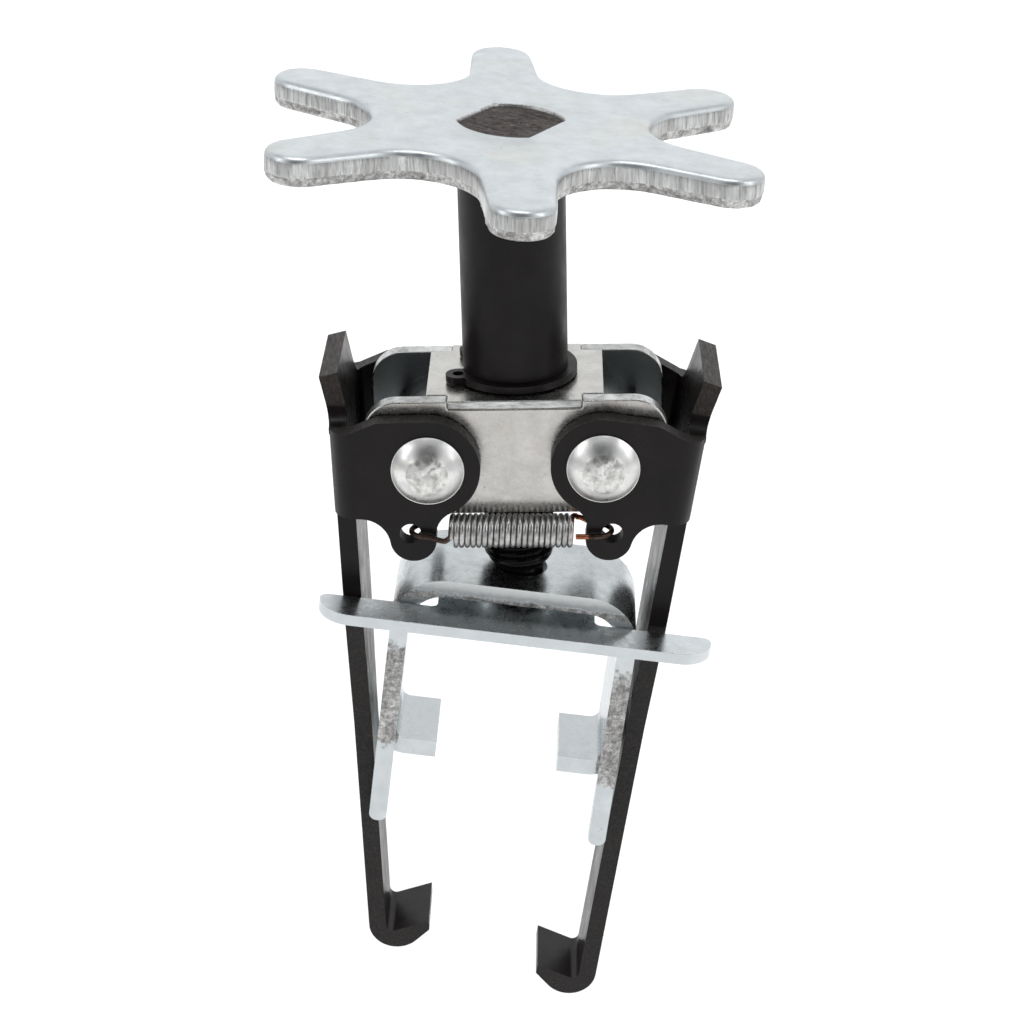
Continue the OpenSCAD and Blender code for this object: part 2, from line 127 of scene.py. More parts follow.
def direction_mask(tree, toward, inner, outer):
    """1 within a cone round a direction, falling to 0 at its rim; both limits are cosines."""
    coords = tree.nodes.new("ShaderNodeTexCoord")
    dot = tree.nodes.new("ShaderNodeVectorMath")
    dot.operation = "DOT_PRODUCT"
    dot.inputs[1].default_value = Vector(toward).normalized()
    tree.links.new(coords.outputs["Generated"], dot.inputs[0])
    ramp = tree.nodes.new("ShaderNodeMapRange")
    ramp.interpolation_type = "SMOOTHSTEP"
    tree.links.new(dot.outputs["Value"], ramp.inputs["Value"])
    ramp.inputs["From Min"].default_value = outer
    ramp.inputs["From Max"].default_value = inner
    return ramp.outputs[0]


def make_world():
    """Pale walls all round, darker overhead, in front and to the sides, as polished metal mirrors them."""
    world = bpy.data.worlds.new("studio")
    world.use_nodes = True
    bpy.context.scene.world = world
    tree = world.node_tree
    walls = (0.70, 0.71, 0.72, 1)
    # (direction, cosine at full strength, cosine at the rim, colour)
    patches = (((0, 0, 1), 0.92, 0.50, (0.42, 0.42, 0.43, 1)),
               ((0, 1, 0.45), 0.90, 0.62, (0.95, 0.96, 0.97, 1)),
               ((0, -0.85, 0.5), 0.93, 0.74, (0.10, 0.10, 0.105, 1)),
               ((-1, -0.25, 0.1), 0.96, 0.88, (0.22, 0.22, 0.23, 1)),
               ((1, -0.35, 0.0), 0.97, 0.90, (0.30, 0.30, 0.31, 1)))
    for toward, inner, outer, shade in patches:
        mix = tree.nodes.new("ShaderNodeMix")
        mix.data_type = "RGBA"
        under, over = [socket for socket in mix.inputs if socket.type == "RGBA"]
        tree.links.new(direction_mask(tree, toward, inner, outer), mix.inputs["Factor"])
        if isinstance(walls, tuple):
            under.default_value = walls
        else:
            tree.links.new(walls, under)
        over.default_value = shade
        walls = [socket for socket in mix.outputs if socket.type == "RGBA"][0]
    tree.links.new(walls, tree.nodes["Background"].inputs[0])


def make_lights():
    """One box overhead, a backdrop that only the floor shows, two side strips and a weak fill."""
    make_light("overhead", (0.0, -0.12, 1.0), (0.55, 0.22), 1.5)
    backdrop = make_light("backdrop", (0.0, 0.80, 1.0), (1.4, 0.6), 11.0)
    backdrop.rotation_euler = (0, 0, 0)
    backdrop.visible_glossy = False
    make_light("left_strip", (-0.75, -0.35, 0.55), (0.16, 0.7), 1.0)
    make_light("right_strip", (0.75, -0.30, 0.50), (0.16, 0.7), 1.0)
    make_light("front_fill", (0.15, -0.9, 0.05), (0.6, 0.3), 0.4)
    view = bpy.context.scene.view_settings
    view.view_transform = "Standard"
    view.look = "None"


make_camera()
make_floor()
make_world()
make_lights()


# ---- materials ----

class Shader:
    """A material's node tree, built by name."""

    def __init__(self, name):
        self.material = bpy.data.materials.new(name)
        self.material.use_nodes = True
        self.tree = self.material.node_tree
        self.surface = self.tree.nodes["Principled BSDF"]
        self.coords = self.tree.nodes.new("ShaderNodeTexCoord").outputs["Object"]

    def link(self, value, socket):
        if isinstance(value, bpy.types.NodeSocket):
            self.tree.links.new(value, socket)
        else:
            socket.default_value = value

    def scaled(self, scale):
        """Object coordinates in metres, stretched by a scale along each axis."""
        node = self.tree.nodes.new("ShaderNodeMapping")
        self.tree.links.new(self.coords, node.inputs[0])
        node.inputs["Scale"].default_value = scale
        return node.outputs[0]

    def noise(self, grain_mm, detail=4.0, roughness=0.6, stretch=(1, 1, 1), distortion=0.0):
        """Noise whose grains are about grain_mm across."""
        node = self.tree.nodes.new("ShaderNodeTexNoise")
        self.tree.links.new(self.scaled([s / (grain_mm * MM) for s in stretch]), node.inputs["Vector"])
        node.inputs["Scale"].default_value = 1.0
        node.inputs["Detail"].default_value = detail
        node.inputs["Roughness"].default_value = roughness
        node.inputs["Distortion"].default_value = distortion
        return node.outputs[0]

    def cells(self, grain_mm):
        """Distance to the nearest of scattered points, about grain_mm apart."""
        node = self.tree.nodes.new("ShaderNodeTexVoronoi")
        self.tree.links.new(self.scaled([1 / (grain_mm * MM)] * 3), node.inputs["Vector"])
        node.inputs["Scale"].default_value = 1.0
        return node.outputs["Distance"]

    def ramp(self, value, *stops):
        """Colour or grey by value: each stop is (position, colour or grey)."""
        node = self.tree.nodes.new("ShaderNodeValToRGB")
        self.link(value, node.inputs[0])
        ramp = node.color_ramp
        while len(ramp.elements) < len(stops):
            ramp.elements.new(0.5)
        for element, (position, colour) in zip(ramp.elements, stops):
            element.position = position
            element.color = (*colour, 1) if isinstance(colour, tuple) else (colour, colour, colour, 1)
        return node.outputs[0]

    def mix(self, factor, a, b):
        """Colour a where the factor is 0, colour b where it is 1."""
        node = self.tree.nodes.new("ShaderNodeMix")
        node.data_type = "RGBA"
        self.link(factor, node.inputs["Factor"])
        sockets = [socket for socket in node.inputs if socket.type == "RGBA"]
        for value, socket in zip((a, b), sockets):
            self.link((*value, 1) if isinstance(value, tuple) else value, socket)
        return [socket for socket in node.outputs if socket.type == "RGBA"][0]

    def maths(self, kind, a, b):
        node = self.tree.nodes.new("ShaderNodeMath")
        node.operation = kind
        self.link(a, node.inputs[0])
        self.link(b, node.inputs[1])
        return node.outputs[0]

    def bumps(self, *layers):
        """Stacks bumps: each layer is (height, strength, depth in mm)."""
        normal = None
        for height, strength, depth in layers:
            node = self.tree.nodes.new("ShaderNodeBump")
            node.inputs["Strength"].default_value = strength
            node.inputs["Distance"].default_value = depth * MM
            self.link(height, node.inputs["Height"])
            if normal is not None:
                self.tree.links.new(normal, node.inputs["Normal"])
            normal = node.outputs[0]
        self.tree.links.new(normal, self.surface.inputs["Normal"])

    def band(self, along, origin, start, stop, soft=1.0, waver=1.0):
        """1 between start and stop mm along a direction from an origin, with a wavering edge."""
        node = self.tree.nodes.new("ShaderNodeVectorMath")
        node.operation = "DOT_PRODUCT"
        self.tree.links.new(self.coords, node.inputs[0])
        node.inputs[1].default_value = along
        shift = self.maths("MULTIPLY", self.maths("SUBTRACT", self.noise(1.5, 4, 0.6), 0.5), 8 * waver * MM)
        at = self.maths("ADD", node.outputs["Value"], shift)
        edges = []
        for limit, sign in ((start, 1), (stop, -1)):
            distance = self.maths("SUBTRACT", at, along.dot(origin) + limit * MM)
            rise = self.maths("MULTIPLY", distance, sign / (soft * MM))
            ramp = self.tree.nodes.new("ShaderNodeClamp")
            self.tree.links.new(rise, ramp.inputs[0])
            edges.append(ramp.outputs[0])
        return self.maths("MULTIPLY", *edges)

    def finish(self, colour, roughness, metallic=1.0, specular=0.5):
        """Joins the last sockets to the surface and hands the material over."""
        self.link(colour, self.surface.inputs["Base Color"])
        self.link(roughness, self.surface.inputs["Roughness"])
        self.surface.inputs["Metallic"].default_value = metallic
        self.surface.inputs["Specular IOR Level"].default_value = specular
        return self.material


def shade(light, *colour):
    """A colour made lighter or darker."""
    return tuple(light * c for c in colour)


def zinc_colour(s, light, mottle, stain, warm=0.0):
    """Bluish-white plating, clouded and specked, with faint yellow and pink stains."""
    clouds = s.noise(4.0, 6, 0.66)
    high = shade(light, 0.745 + 0.04 * warm, 0.79 - 0.032 * warm, 0.805 - 0.09 * warm)
    low = shade(1 - 0.16 * mottle, *high)
    colour = s.ramp(clouds, (0.32, low), (0.66, high))
    yellow = s.ramp(s.noise(13, 4, 0.55), (0.52, 0.0), (0.70, 1.0))
    colour = s.mix(s.maths("MULTIPLY", yellow, 0.30 * stain), colour, shade(light, 0.76, 0.71, 0.60))
    pink = s.ramp(s.noise(6, 5, 0.6, (1, 1.3, 0.8)), (0.57, 0.0), (0.70, 1.0))
    colour = s.mix(s.maths("MULTIPLY", pink, 0.22 * stain), colour, shade(light, 0.62, 0.52, 0.50))
    specks = s.ramp(s.noise(0.6, 3, 0.55), (0.66, 0.0), (0.72, 1.0))
    specks = s.maths("MULTIPLY", specks, s.ramp(s.noise(5, 3, 0.6), (0.45, 0.0), (0.60, 1.0)))
    colour = s.mix(s.maths("MULTIPLY", specks, 0.50 * mottle), colour, (0.22, 0.21, 0.20))
    return colour, clouds, specks


def zinc(name, light, mottle, stain, rough, warm=0.0):
    """Bright zinc plating over rolled plate."""
    s = Shader(name)
    colour, clouds, specks = zinc_colour(s, light, mottle, stain, warm)
    wear = s.ramp(s.noise(1.6, 6, 0.7, (1, 1, 1.6)), (0.35, 0.0), (0.70, 1.0))
    roughness = s.maths("ADD", s.maths("MULTIPLY", wear, 0.14), rough - 0.07)
    s.bumps((clouds, 0.12 * mottle, 0.10), (s.noise(0.45, 3, 0.6), 0.22, 0.02), (specks, 0.3, -0.03))
    return s.finish(colour, roughness)


def zinc_sheared(name, stretch):
    """A punched edge: striations along the punch's travel, dulled in patches, zinc over them."""
    s = Shader(name)
    lines = s.noise(0.75, 5, 0.74, stretch)
    fine = s.noise(0.30, 3, 0.6, stretch)
    broad = s.noise(4.5, 4, 0.6, stretch)
    both = s.maths("ADD", s.maths("MULTIPLY", lines, 0.7), s.maths("MULTIPLY", fine, 0.3))
    colour = s.ramp(both, (0.40, (0.36, 0.36, 0.35)), (0.50, (0.62, 0.63, 0.62)),
                    (0.60, (0.80, 0.815, 0.80)))
    dull = s.ramp(broad, (0.44, 0.0), (0.60, 1.0))
    colour = s.mix(s.maths("MULTIPLY", dull, 0.45), colour, (0.34, 0.335, 0.32))
    s.bumps((both, 0.6, 0.12), (broad, 0.5, 0.25))
    return s.finish(colour, s.ramp(both, (0.3, 0.44), (0.7, 0.26)))


def torn_colour(s, light):
    """Colour and relief of a fractured edge under zinc: grey with bright flecks."""
    grain = s.noise(0.8, 8, 0.78)
    patches = s.noise(3.5, 4, 0.6)
    mixed = s.maths("ADD", s.maths("MULTIPLY", grain, 0.72), s.maths("MULTIPLY", patches, 0.28))
    colour = s.ramp(mixed, (0.38, shade(light, 0.19, 0.185, 0.180)),
                    (0.48, shade(light, 0.42, 0.412, 0.402)),
                    (0.55, shade(light, 0.64, 0.635, 0.625)), (0.62, (0.90, 0.90, 0.89)))
    return colour, grain


def zinc_torn(name, light):
    """A fractured edge under zinc: grey, crumbly, with bright flecks and darker pits."""
    s = Shader(name)
    colour, grain = torn_colour(s, light)
    s.bumps((grain, 0.8, 0.22), (s.cells(0.7), 0.35, 0.12))
    return s.finish(colour, s.ramp(grain, (0.35, 0.60), (0.75, 0.32)), metallic=0.9)


def leg_edge(name, limits):
    """The saddle's cut edges: torn between the limits (mm down each leg) and under the arch, with a painted
    highlight, near white, on the arch's front edge above.
    """
    s = Shader(name)
    smooth = zinc_colour(s, 1.0, 0.8, 0.3)[0]
    # painted highlight: a near-white band on the arch's front edge, from 8 mm above the swivel to just below
    # it
    arch = s.band(LEG_DOWN, SWIVEL, -8.0, 0.6, 1.0, 0.3)
    smooth = s.mix(s.maths("MULTIPLY", arch, 0.8), smooth, (0.93, 0.95, 0.94))
    torn, grain = torn_colour(s, 1.0)
    under_arch = s.band(LEG_DOWN, SWIVEL, 0.6, 2.6, 0.5, 0.25)
    legs = []
    for side, (start, stop) in zip(SIDES, limits):
        half_space = s.band(Vector((OUTWARDS[side], 0, 0)), Vector((0, 0, 0)), 0, 60, 1.0, 0.0)
        legs.append(s.maths("MULTIPLY", half_space, s.band(LEG_DOWN, SWIVEL, start, stop, 1.2)))
    tabs = s.band(LEG_ACROSS, SWIVEL, -TAB_ROOT, TAB_ROOT, 0.2, 0.1)
    on_legs = s.maths("MULTIPLY", s.maths("ADD", *legs), s.maths("SUBTRACT", 1.0, tabs))
    mask = s.maths("ADD", under_arch, on_legs)
    colour = s.mix(mask, smooth, torn)
    s.bumps((s.maths("MULTIPLY", grain, mask), 0.8, 0.25), (s.noise(0.5, 4, 0.6), 0.3, 0.03))
    pits = s.maths("MULTIPLY", s.maths("SUBTRACT", 1.0, grain), mask)
    return s.finish(colour, s.ramp(pits, (0.0, 0.36), (0.55, 0.62)), metallic=0.95)


def black_oxide(name, rough, lift=1.0, bump=1.0):
    """Oiled black oxide on steel plate: satin, faintly brown, with fine pores."""
    s = Shader(name)
    clouds = s.noise(7, 4, 0.6)
    base = shade(lift, 0.0062, 0.0045, 0.0042)
    colour = s.ramp(clouds, (0.35, base), (0.70, shade(1.7, *base)))
    dust = s.ramp(s.noise(0.35, 3, 0.6), (0.70, 0.0), (0.78, 1.0))
    colour = s.mix(s.maths("MULTIPLY", dust, 0.15), colour, (0.16, 0.15, 0.14))
    smear = s.noise(3.5, 5, 0.65, (1, 1, 0.6))
    roughness = s.ramp(smear, (0.30, rough - 0.07), (0.72, rough + 0.12))
    s.bumps((s.noise(1.6, 4, 0.6), 0.18 * bump, 0.04), (s.noise(0.22, 3, 0.6), 0.3 * bump, 0.012))
    return s.finish(colour, roughness, metallic=0.0, specular=0.24)


def black_sheared(name, stretch, brown):
    """A punched edge under black oxide: striated, dull, with a rusty brown cast."""
    s = Shader(name)
    lines = s.noise(0.45, 6, 0.7, stretch)
    colour = s.ramp(lines, (0.34, (0.009, 0.008, 0.008)),
                    (0.56, (0.016 + 0.016 * brown, 0.014 + 0.010 * brown, 0.013 + 0.007 * brown)),
                    (0.74, (0.035 + 0.060 * brown, 0.030 + 0.040 * brown, 0.028 + 0.032 * brown)))
    s.bumps((lines, 0.7, 0.12), (s.noise(0.3, 3, 0.6), 0.4, 0.03))
    return s.finish(colour, s.ramp(lines, (0.3, 0.60), (0.75, 0.38)), metallic=0.0, specular=0.32)


def turned_end(name):
    """The sleeve's staked end: dark, torn in curved ridges with rust-brown tops."""
    s = Shader(name)
    ridges = s.noise(1.1, 8, 0.72, (0.55, 1.7, 1), 1.5)
    colour = s.ramp(ridges, (0.38, (0.010, 0.008, 0.008)), (0.55, (0.045, 0.032, 0.028)),
                    (0.68, (0.16, 0.12, 0.10)), (0.80, (0.42, 0.36, 0.32)))
    s.bumps((ridges, 0.9, 0.30))
    return s.finish(colour, s.ramp(ridges, (0.4, 0.55), (0.8, 0.3)), metallic=0.35)


def wire(name, tint=(0.62, 0.62, 0.61), dark=(0.30, 0.29, 0.28), rough=0.26):
    """Drawn spring wire, with faint draw lines and dull patches."""
    s = Shader(name)
    patches = s.noise(1.3, 5, 0.65)
    colour = s.ramp(patches, (0.32, dark), (0.60, tint))
    s.bumps((s.noise(0.25, 3, 0.6), 0.3, 0.012))
    return s.finish(colour, s.ramp(patches, (0.3, rough + 0.16), (0.7, rough)))


def bright_rivet(name, hammered=False):
    """Zinc on a rivet's head: bright, with hammer marks in the middle."""
    s = Shader(name)
    clouds = s.noise(1.4 if hammered else 3.0, 6, 0.68)
    low = (0.50, 0.49, 0.47) if hammered else (0.72, 0.73, 0.72)
    colour = s.ramp(clouds, (0.34, low), (0.60, (0.90, 0.90, 0.87)))
    stain = s.ramp(s.noise(3.2, 3, 0.6), (0.60, 0.0), (0.74, 1.0))
    colour = s.mix(s.maths("MULTIPLY", stain, 0.22), colour, (0.66, 0.60, 0.48))
    s.bumps((clouds, 0.65 if hammered else 0.2, 0.12), (s.cells(0.9), 0.35 if hammered else 0.05, 0.08))
    return s.finish(colour, s.ramp(clouds, (0.35, 0.42), (0.7, 0.22)))


FINISH = {
    "star_face": zinc("zinc_star_face", 1.03, 1.0, 0.8, 0.38),
    "star_side": zinc_sheared("zinc_star_side", (1, 1, 0.10)),
    "star_torn": zinc_torn("zinc_star_torn", 1.15),
    "plate": zinc("zinc_plate", 0.88, 1.3, 1.4, 0.28, 0.8),
    "tab": zinc("zinc_tab", 0.80, 0.5, 0.2, 0.26),
    "plate_edge": zinc_sheared("zinc_plate_edge", (0.2, 0.2, 1)),
    # painted shade: plate zinc darkened to 0.46 for the plates' inner faces between the plates
    "inside": zinc("zinc_inside_painted_shade", 0.46, 1.0, 0.6, 0.36),
    "saddle": zinc("zinc_saddle", 0.88, 1.4, 0.6, 0.28),
    "leg_edge": leg_edge("zinc_leg_edge", ((11.5, 32.5), (12.5, 36.0))),
    "bar": zinc("zinc_bar", 1.0, 0.8, 0.6, 0.30),
    "bar_edge": zinc("zinc_bar_edge", 1.0, 0.6, 0.3, 0.40),
    "tube": black_oxide("black_tube", 0.42, 0.9, 0.6),
    "jaw": black_oxide("black_jaw", 0.30),
    "jaw_edge": black_sheared("black_jaw_edge", (1, 0.3, 1), 0.2),
    "ear_edge": black_sheared("black_ear_edge", (1, 0.15, 0.6), 1.0),
    "end": turned_end("black_turned_end"),
    "clip": black_oxide("black_clip", 0.36, 0.8, 0.8),
    "thread": black_oxide("black_thread", 0.26, 0.8, 0.6),
    "wire": wire("steel_wire"),
    "hook": wire("steel_hook", (0.11, 0.075, 0.060), (0.022, 0.015, 0.012), 0.30),
    # painted reflection: an orange tint on steel wire, standing in for orange light on the right hook
    "painted_orange_reflection": wire("steel_painted_orange_reflection", (0.62, 0.24, 0.12), (0.20, 0.06, 0.03), 0.30),
    "rivet": bright_rivet("zinc_rivet"),
    "rivet_face": bright_rivet("zinc_rivet_face", True),
    "spacer": zinc("zinc_spacer", 0.42, 1.0, 0.6, 0.34),
}


# ---- mesh helpers ----

def new_object(name, mesh, *finishes):
    """A mesh as an object, with its finishes in the order of the faces' numbers."""
    piece = bpy.data.objects.new(name, mesh)
    bpy.context.collection.objects.link(piece)
    if mesh.materials:
        mesh.materials.clear()
    for finish in finishes:
        mesh.materials.append(FINISH[finish])
    return piece


def applied(piece):
    """Replaces a piece's mesh by the one its modifiers make."""
    shown = piece.evaluated_get(bpy.context.evaluated_depsgraph_get())
    mesh = bpy.data.meshes.new_from_object(shown)
    piece.modifiers.clear()
    piece.data = mesh
    return piece


def place(piece, body, node):
    """Rides a body and stands in for a CAD node."""
    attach(piece, body)
    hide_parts(node)


SHARP = math.radians(28)                # edges turning more than this are rounded
SMOOTH_TO = math.radians(40)            # and new meshes shade smooth up to this


def rounded_copy(node, name, finishes, width, segments=3):
    """The CAD node's own mesh in a new piece, with its hard edges rounded by width mm."""
    bm = bmesh.new()
    bm.from_mesh(frame["nodes"][node].data)
    bmesh.ops.remove_doubles(bm, verts=bm.verts, dist=2e-6)
    bmesh.ops.dissolve_limit(bm, angle_limit=math.radians(0.4), verts=bm.verts, edges=bm.edges)
    mesh = bpy.data.meshes.new(name)
    bm.to_mesh(mesh)
    bm.free()
    for stale in [a.name for a in mesh.attributes if a.name.startswith("custom_normal")]:
        mesh.attributes.remove(mesh.attributes[stale])
    piece = new_object(name, mesh, *finishes)
    bevel = piece.modifiers.new("rounded", "BEVEL")
    bevel.width = width * MM
    bevel.segments = segments
    bevel.limit_method = "ANGLE"
    bevel.angle_limit = SHARP
    bevel.miter_outer = "MITER_ARC"
    bevel.harden_normals = True
    mesh.polygons.foreach_set("use_smooth", [True] * len(mesh.polygons))
    return applied(piece)


def finish_faces(piece, rule):
    """Gives each face the finish that rule(centre, normal) names by number."""
    for face in piece.data.polygons:
        face.material_index = rule(face.center, face.normal)


def bridge_rings(bm, rings, material=0):
    """Quads between one closed ring of vertices and the next."""
    for low, high in zip(rings, rings[1:]):
        for i in range(len(low)):
            j = (i + 1) % len(low)
            bm.faces.new((low[i], low[j], high[j], high[i])).material_index = material


def close_ring(bm, ring, pole, material=0):
    """Triangles from a ring to a single vertex."""
    for i, vert in enumerate(ring):
        bm.faces.new((vert, ring[(i + 1) % len(ring)], pole)).material_index = material


def lathe(bm, profile, steps, to_world, material_of):
    """A closed surface of revolution; profile is (radius, height) from one pole to the other."""
    rings = []
    for radius, height in profile[1:-1]:
        rings.append([bm.verts.new(to_world(radius, 2 * math.pi * k / steps, height)) for k in range(steps)])
    for index in range(len(rings) - 1):
        bridge_rings(bm, rings[index:index + 2], material_of(index + 1))
    for end, ring, at in ((profile[0], rings[0], 0), (profile[-1], rings[-1], len(profile) - 2)):
        close_ring(bm, ring, bm.verts.new(to_world(0, 0, end[1])), material_of(at))


def mesh_from(bm, name, smooth_to=SMOOTH_TO):
    """Ends a bmesh as a mesh with outward normals."""
    bmesh.ops.recalc_face_normals(bm, faces=bm.faces)
    mesh = bpy.data.meshes.new(name)
    bm.to_mesh(mesh)
    bm.free()
    mesh.polygons.foreach_set("use_smooth", [True] * len(mesh.polygons))
    mesh.set_sharp_from_angle(angle=smooth_to)
    return mesh


def tube(points, radius, sides=12):
    """A round tube along a list of points, closed at both ends."""
    bm = bmesh.new()
    rings = []
    along = (points[1] - points[0]).normalized()
    side = along.orthogonal().normalized()
    for i, point in enumerate(points):
        ahead = points[min(i + 1, len(points) - 1)] - points[max(i - 1, 0)]
        ahead.normalize()
        side = (side - ahead * side.dot(ahead)).normalized()
        up = ahead.cross(side)
        rings.append([bm.verts.new(point + radius * (side * math.cos(a) + up * math.sin(a)))
                      for a in (2 * math.pi * k / sides for k in range(sides))])
    bridge_rings(bm, rings)
    for ring in (rings[0], rings[-1]):
        bm.faces.new(ring)
    return bm


# ---- star handle ----

STAR_ARMS = 6
STAR_R = 43.5
STAR_T = 5.0
TIP_R = 5.2
VALLEY_R = 10.7
TAPER = math.radians(3.8)
STAR_LEAN = math.radians(5)
STAR_TURNED = math.radians(3.5)
FLATS_DIR = math.radians(-29)
HOLE_R = 8.75
HOLE_FLAT = 6.5


def arc_points(centre, radius, start, stop, steps):
    angles = (start + (stop - start) * i / steps for i in range(steps))
    return [Vector((centre[0] + radius * math.cos(a), centre[1] + radius * math.sin(a))) for a in angles]


def straight_points(a, b, steps):
    return [a.lerp(b, i / steps) for i in range(steps)]


def star_outline(inset):
    """Points round the star, inset mm inside its outline, the same number at any inset."""
    pitch = 2 * math.pi / STAR_ARMS
    arm_r = STAR_R - TIP_R
    valley_at = (TIP_R + VALLEY_R + arm_r * math.sin(TAPER)) / math.sin(pitch / 2 + TAPER)
    valley = (valley_at * math.cos(pitch / 2), valley_at * math.sin(pitch / 2))
    tip = arc_points((arm_r, 0), TIP_R - inset, TAPER - math.pi / 2, math.pi / 2 - TAPER, 22)
    tip_end = arc_points((arm_r, 0), TIP_R - inset, math.pi / 2 - TAPER, math.pi, 1)[0]
    bend = arc_points(valley, VALLEY_R + inset, 1.5 * math.pi - TAPER, pitch + math.pi / 2 + TAPER, 18)
    bend_end = arc_points(valley, VALLEY_R + inset, pitch + math.pi / 2 + TAPER, 0, 1)[0]
    next_tip = Matrix.Rotation(pitch, 2) @ tip[0]
    segment = tip + straight_points(tip_end, bend[0], 14) + bend + straight_points(bend_end, next_tip, 14)
    turns = [STAR_TURNED - math.pi / 2 + i * pitch for i in range(STAR_ARMS)]
    return [Matrix.Rotation(turn, 2) @ p for turn in turns for p in segment]


def hole_outline(grow):
    """Points round the double-D hole, grow mm outside it."""
    radius, flat = HOLE_R + grow, HOLE_FLAT + grow
    half = math.acos(flat / radius)
    points = []
    for turn in (0, math.pi):
        round_side = arc_points((0, 0), radius, half, math.pi - half, 20)
        corner = arc_points((0, 0), radius, math.pi - half, 0, 1)[0]
        far = arc_points((0, 0), radius, math.pi + half, 0, 1)[0]
        points += [Matrix.Rotation(turn, 2) @ p for p in round_side + straight_points(corner, far, 12)]
    return [Matrix.Rotation(FLATS_DIR, 2) @ p for p in points]


STAR_LOW, STAR_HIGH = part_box("star_handle")
STAR_MIDDLE = (STAR_LOW + STAR_HIGH) / 2
STAR_TILT = Matrix.Rotation(STAR_LEAN, 3, "Y")


def star_place(point, z):
    """From the star's own frame, in mm and above its underside, to the frame of the whole tool."""
    return STAR_MIDDLE + STAR_TILT @ Vector((point.x, point.y, z - STAR_T / 2)) * MM


def foot_relief(x, y, height):
    """How far the torn foot stands out or is broken away at a spot, in mm."""
    coarse = noise.noise(Vector((x, y, height)) * 0.75)
    fine = noise.noise(Vector((x, y, height * 1.6)) * 2.3)
    return 0.8 * coarse + 0.5 * fine


# The star's edge from the top down: inset and height of each ring in mm, and the finish of the band
# above it (0 rolled top edge, 1 sheared wall, 2 torn foot).
STAR_EDGE = [(1.7, 5.0, 0), (1.15, 4.95, 0), (0.72, 4.82, 0), (0.38, 4.60, 0), (0.15, 4.30, 0),
             (0.04, 3.95, 0), (0.0, 3.5, 1), (0.0, 3.0, 1), (0.02, 2.5, 1), (0.03, 2.0, 1),
             (0.05, 1.70, 1), (0.20, 1.42, 2), (0.24, 1.15, 2), (0.28, 0.88, 2), (0.32, 0.60, 2),
             (0.44, 0.36, 2), (0.66, 0.16, 2), (1.1, 0.03, 2), (1.8, 0.0, 2)]
# The hole's wall from the top down: how far it stands outside the hole, and its height.
HOLE_EDGE = [(0.35, 5.0), (0.12, 4.9), (0.0, 4.65), (0.0, 2.5), (0.0, 0.0)]
FOOT_OUT, FOOT_MOST, FOOT_UP = 0.38, 0.20, 0.22


def star_ring(bm, inset, height, torn):
    """One ring of the star's edge, broken up where it is torn."""
    outline = star_outline(inset)
    ring = []
    for before, point, after in zip([outline[-1]] + outline, outline, outline[1:] + outline[:1]):
        lift = 0.0
        if torn:
            rough = foot_relief(point.x, point.y, height)
            outwards = -(after - before).orthogonal().normalized()
            point = point + outwards * min(FOOT_OUT * rough, FOOT_MOST)
            lift = FOOT_UP * rough
        ring.append(bm.verts.new(star_place(point, max(height + lift, 0.0))))
    return ring


def make_star():
    bm = bmesh.new()
    lowest = len(STAR_EDGE) - 1
    rings = [star_ring(bm, inset, height, finish == 2 and index < lowest)
             for index, (inset, height, finish) in enumerate(STAR_EDGE)]
    for index in range(lowest):
        bridge_rings(bm, rings[index:index + 2], material=STAR_EDGE[index + 1][2])
    holes = [[bm.verts.new(star_place(p, height)) for p in hole_outline(grow)] for grow, height in HOLE_EDGE]
    bridge_rings(bm, holes, material=1)
    for outer, inner in ((rings[0], holes[0]), (rings[-1], holes[-1])):
        edges = [bm.edges.get((ring[i], ring[(i + 1) % len(ring)])) for ring in (outer, inner)
                 for i in range(len(ring))]
        made = bmesh.ops.triangle_fill(bm, edges=edges, use_beauty=True, use_dissolve=False)
        for face in made["geom"]:
            if isinstance(face, bmesh.types.BMFace):
                face.material_index = 0
    piece = new_object("star_handle_plate", mesh_from(bm, "star_handle_plate"),
                       "star_face", "star_side", "star_torn")
    place(piece, "drive", "star_handle")


# ---- sleeve and circlip ----

def make_sleeve():
    piece = rounded_copy("drive_sleeve", "drive_sleeve_tube", ("tube",), 0.25)
    place(piece, "drive", "drive_sleeve")


END_BELOW_TOP = 0.45
END_THICK = 0.6
END_RINGS = 16
RIDGES_DIR = math.radians(35)


def make_sleeve_end():
    """The staked end of the sleeve in the star's hole, torn in ridges."""
    top = STAR_T - END_BELOW_TOP
    outline = hole_outline(-0.04)
    bm = bmesh.new()
    floor = [bm.verts.new(star_place(p, top - END_THICK)) for p in outline]
    rings = [floor]
    for step in range(END_RINGS):
        ring = []
        for point in outline:
            at = point * (1 - step / END_RINGS)
            across = Matrix.Rotation(RIDGES_DIR, 2) @ at
            ridge = noise.noise(Vector((across.x * 0.30, across.y * 1.1, 0.0)))
            grain = noise.noise(Vector((at.x, at.y, 4.0)) * 1.6)
            rise = 0.30 * ridge + 0.14 * grain if step > 1 else 0.0
            ring.append(bm.verts.new(star_place(at, top + rise)))
        rings.append(ring)
    bridge_rings(bm, rings)
    bm.faces.new(floor)
    close_ring(bm, rings[-1], bm.verts.new(star_place(Vector((0, 0)), top)))
    piece = new_object("drive_sleeve_end", mesh_from(bm, "drive_sleeve_end"), "end")
    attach(piece, "drive")


def make_circlip():
    piece = rounded_copy("sleeve_circlip", "sleeve_circlip_ring", ("clip",), 0.18)
    place(piece, "drive", "sleeve_circlip")


# ---- yoke ----

